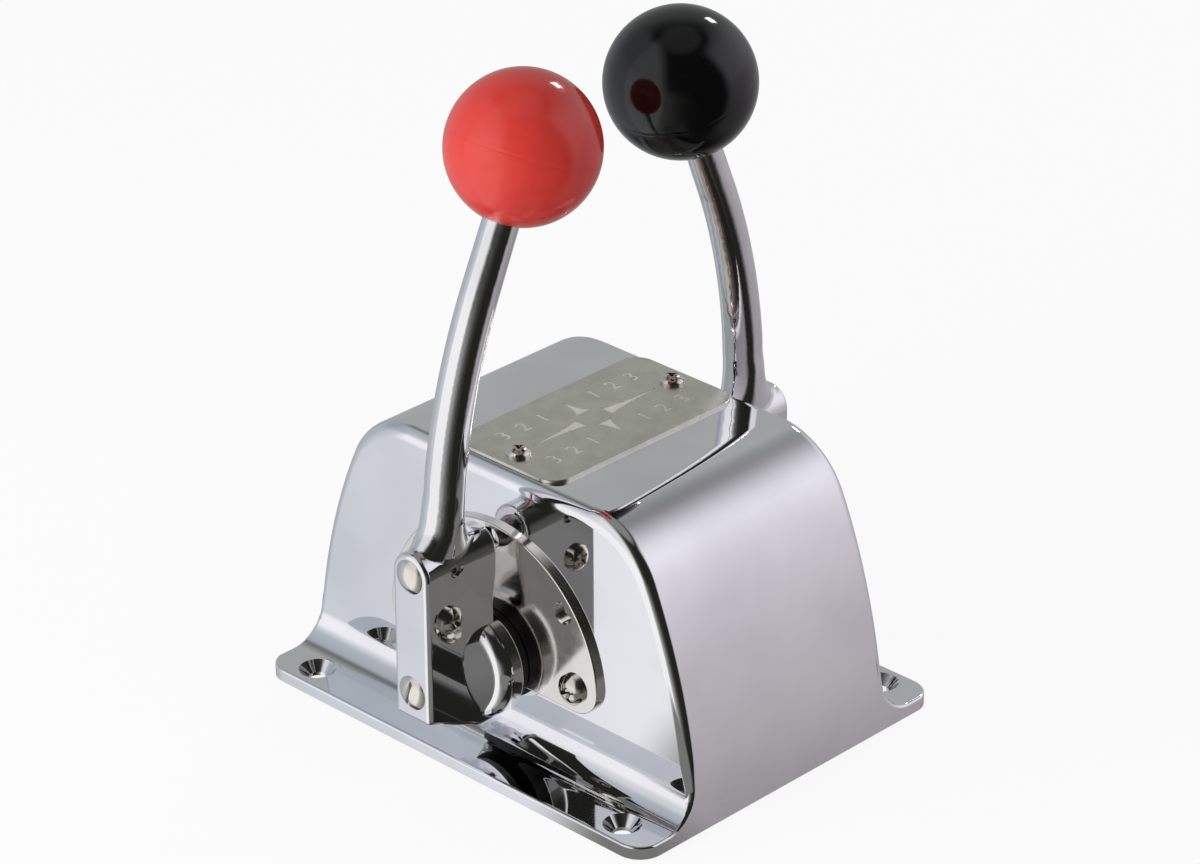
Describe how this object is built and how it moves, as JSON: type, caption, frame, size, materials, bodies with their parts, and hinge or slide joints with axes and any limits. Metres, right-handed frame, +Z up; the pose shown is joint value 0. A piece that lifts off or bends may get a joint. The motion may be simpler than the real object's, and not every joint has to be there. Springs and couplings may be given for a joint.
{
  "type": "boat throttle control lever",
  "caption": "Chromed top-mounted boat control with separate throttle and shift levers, red and black ball knobs, detent quadrants and cable cranks.",
  "frame": {"origin": "on the underside of the flanges, at the middle of the base", "axes": "+X to starboard, where the shift lever is; +Y ahead, the way the levers are pushed to go ahead; +Z up, towards the knobs"},
  "size_m": [0.1566, 0.1572, 0.2105],
  "materials": {
    "housing_chrome": "polished chrome plating on a zinc casting",
    "quadrant_steel": "satin nickel plating on steel",
    "arm_chrome": "polished chrome plating on a zinc casting",
    "plate_metal": "satin, with shallow engraving",
    "screw_steel": "polished stainless steel",
    "shaft_steel": "turned stainless steel",
    "spring_steel": "drawn wire and hardened ball",
    "crank_metal": "zinc plated",
    "bush_plastic": "natural acetal",
    "washer_plastic": "black nylon",
    "insert_brass": "turned",
    "shift_knob_plastic": "moulded black, polished",
    "throttle_knob_plastic": "moulded red, polished"
  },
  "bodies": {
    "base": {"housing": "housing_chrome", "name_plate": "plate_metal", "name_plate_screws": "screw_steel", "quadrant_screws": "screw_steel", "shift_quadrant": "quadrant_steel", "shift_shaft_bush": "bush_plastic", "throttle_quadrant": "quadrant_steel", "throttle_shaft_bush": "bush_plastic"},
    "shift_lever": {"shift_arm": "arm_chrome", "shift_knob": "shift_knob_plastic", "shift_knob_insert": "insert_brass", "shift_shaft": "shaft_steel", "shift_shaft_screw": "screw_steel", "shift_thrust_washer": "washer_plastic", "shift_detent_plug": "screw_steel", "shift_detent_spring": "spring_steel", "shift_cross_screw": "screw_steel", "shift_set_screw": "shaft_steel", "shift_crank": "crank_metal", "shift_crank_washer": "shaft_steel", "shift_crank_screw": "shaft_steel"},
    "shift_detent": {"shift_detent_ball": "spring_steel"},
    "shift_cable_swivel": {"shift_cable_stud": "shaft_steel", "shift_stud_clip": "spring_steel"},
    "throttle_lever": {"throttle_arm": "arm_chrome", "throttle_knob": "throttle_knob_plastic", "throttle_knob_insert": "insert_brass", "throttle_shaft": "shaft_steel", "throttle_shaft_screw": "screw_steel", "throttle_thrust_washer": "washer_plastic", "throttle_detent_plug": "screw_steel", "throttle_detent_spring": "spring_steel", "throttle_cross_screw": "screw_steel", "throttle_set_screw": "shaft_steel", "throttle_crank": "crank_metal", "throttle_crank_washer": "shaft_steel", "throttle_crank_screw": "shaft_steel"},
    "throttle_detent": {"throttle_detent_ball": "spring_steel"},
    "throttle_cable_swivel": {"throttle_cable_stud": "shaft_steel", "throttle_stud_clip": "spring_steel"}
  },
  "joints": [
    {"name": "shift_lever_swing", "type": "hinge", "parent": "base", "child": "shift_lever", "pos_m": [0.0419, 0, 0.03], "axis": [-1, 0, 0], "range_deg": [-50, 50]},
    {"name": "shift_detent_slide", "type": "slide", "parent": "shift_lever", "child": "shift_detent", "axis": [-1, 0, 0], "range_m": [0, 0.0015]},
    {"name": "shift_stud_swivel", "type": "hinge", "parent": "shift_lever", "child": "shift_cable_swivel", "pos_m": [0.0254, 0.03, 0.03], "axis": [-1, 0, 0], "range_deg": [-60, 60]},
    {"name": "throttle_lever_swing", "type": "hinge", "parent": "base", "child": "throttle_lever", "pos_m": [-0.0419, 0, 0.03], "axis": [-1, 0, 0], "range_deg": [-50, 50]},
    {"name": "throttle_detent_slide", "type": "slide", "parent": "throttle_lever", "child": "throttle_detent", "axis": [1, 0, 0], "range_m": [0, 0.0015]},
    {"name": "throttle_stud_swivel", "type": "hinge", "parent": "throttle_lever", "child": "throttle_cable_swivel", "pos_m": [-0.0254, 0.03, 0.03], "axis": [-1, 0, 0], "range_deg": [-60, 60]}
  ]
}
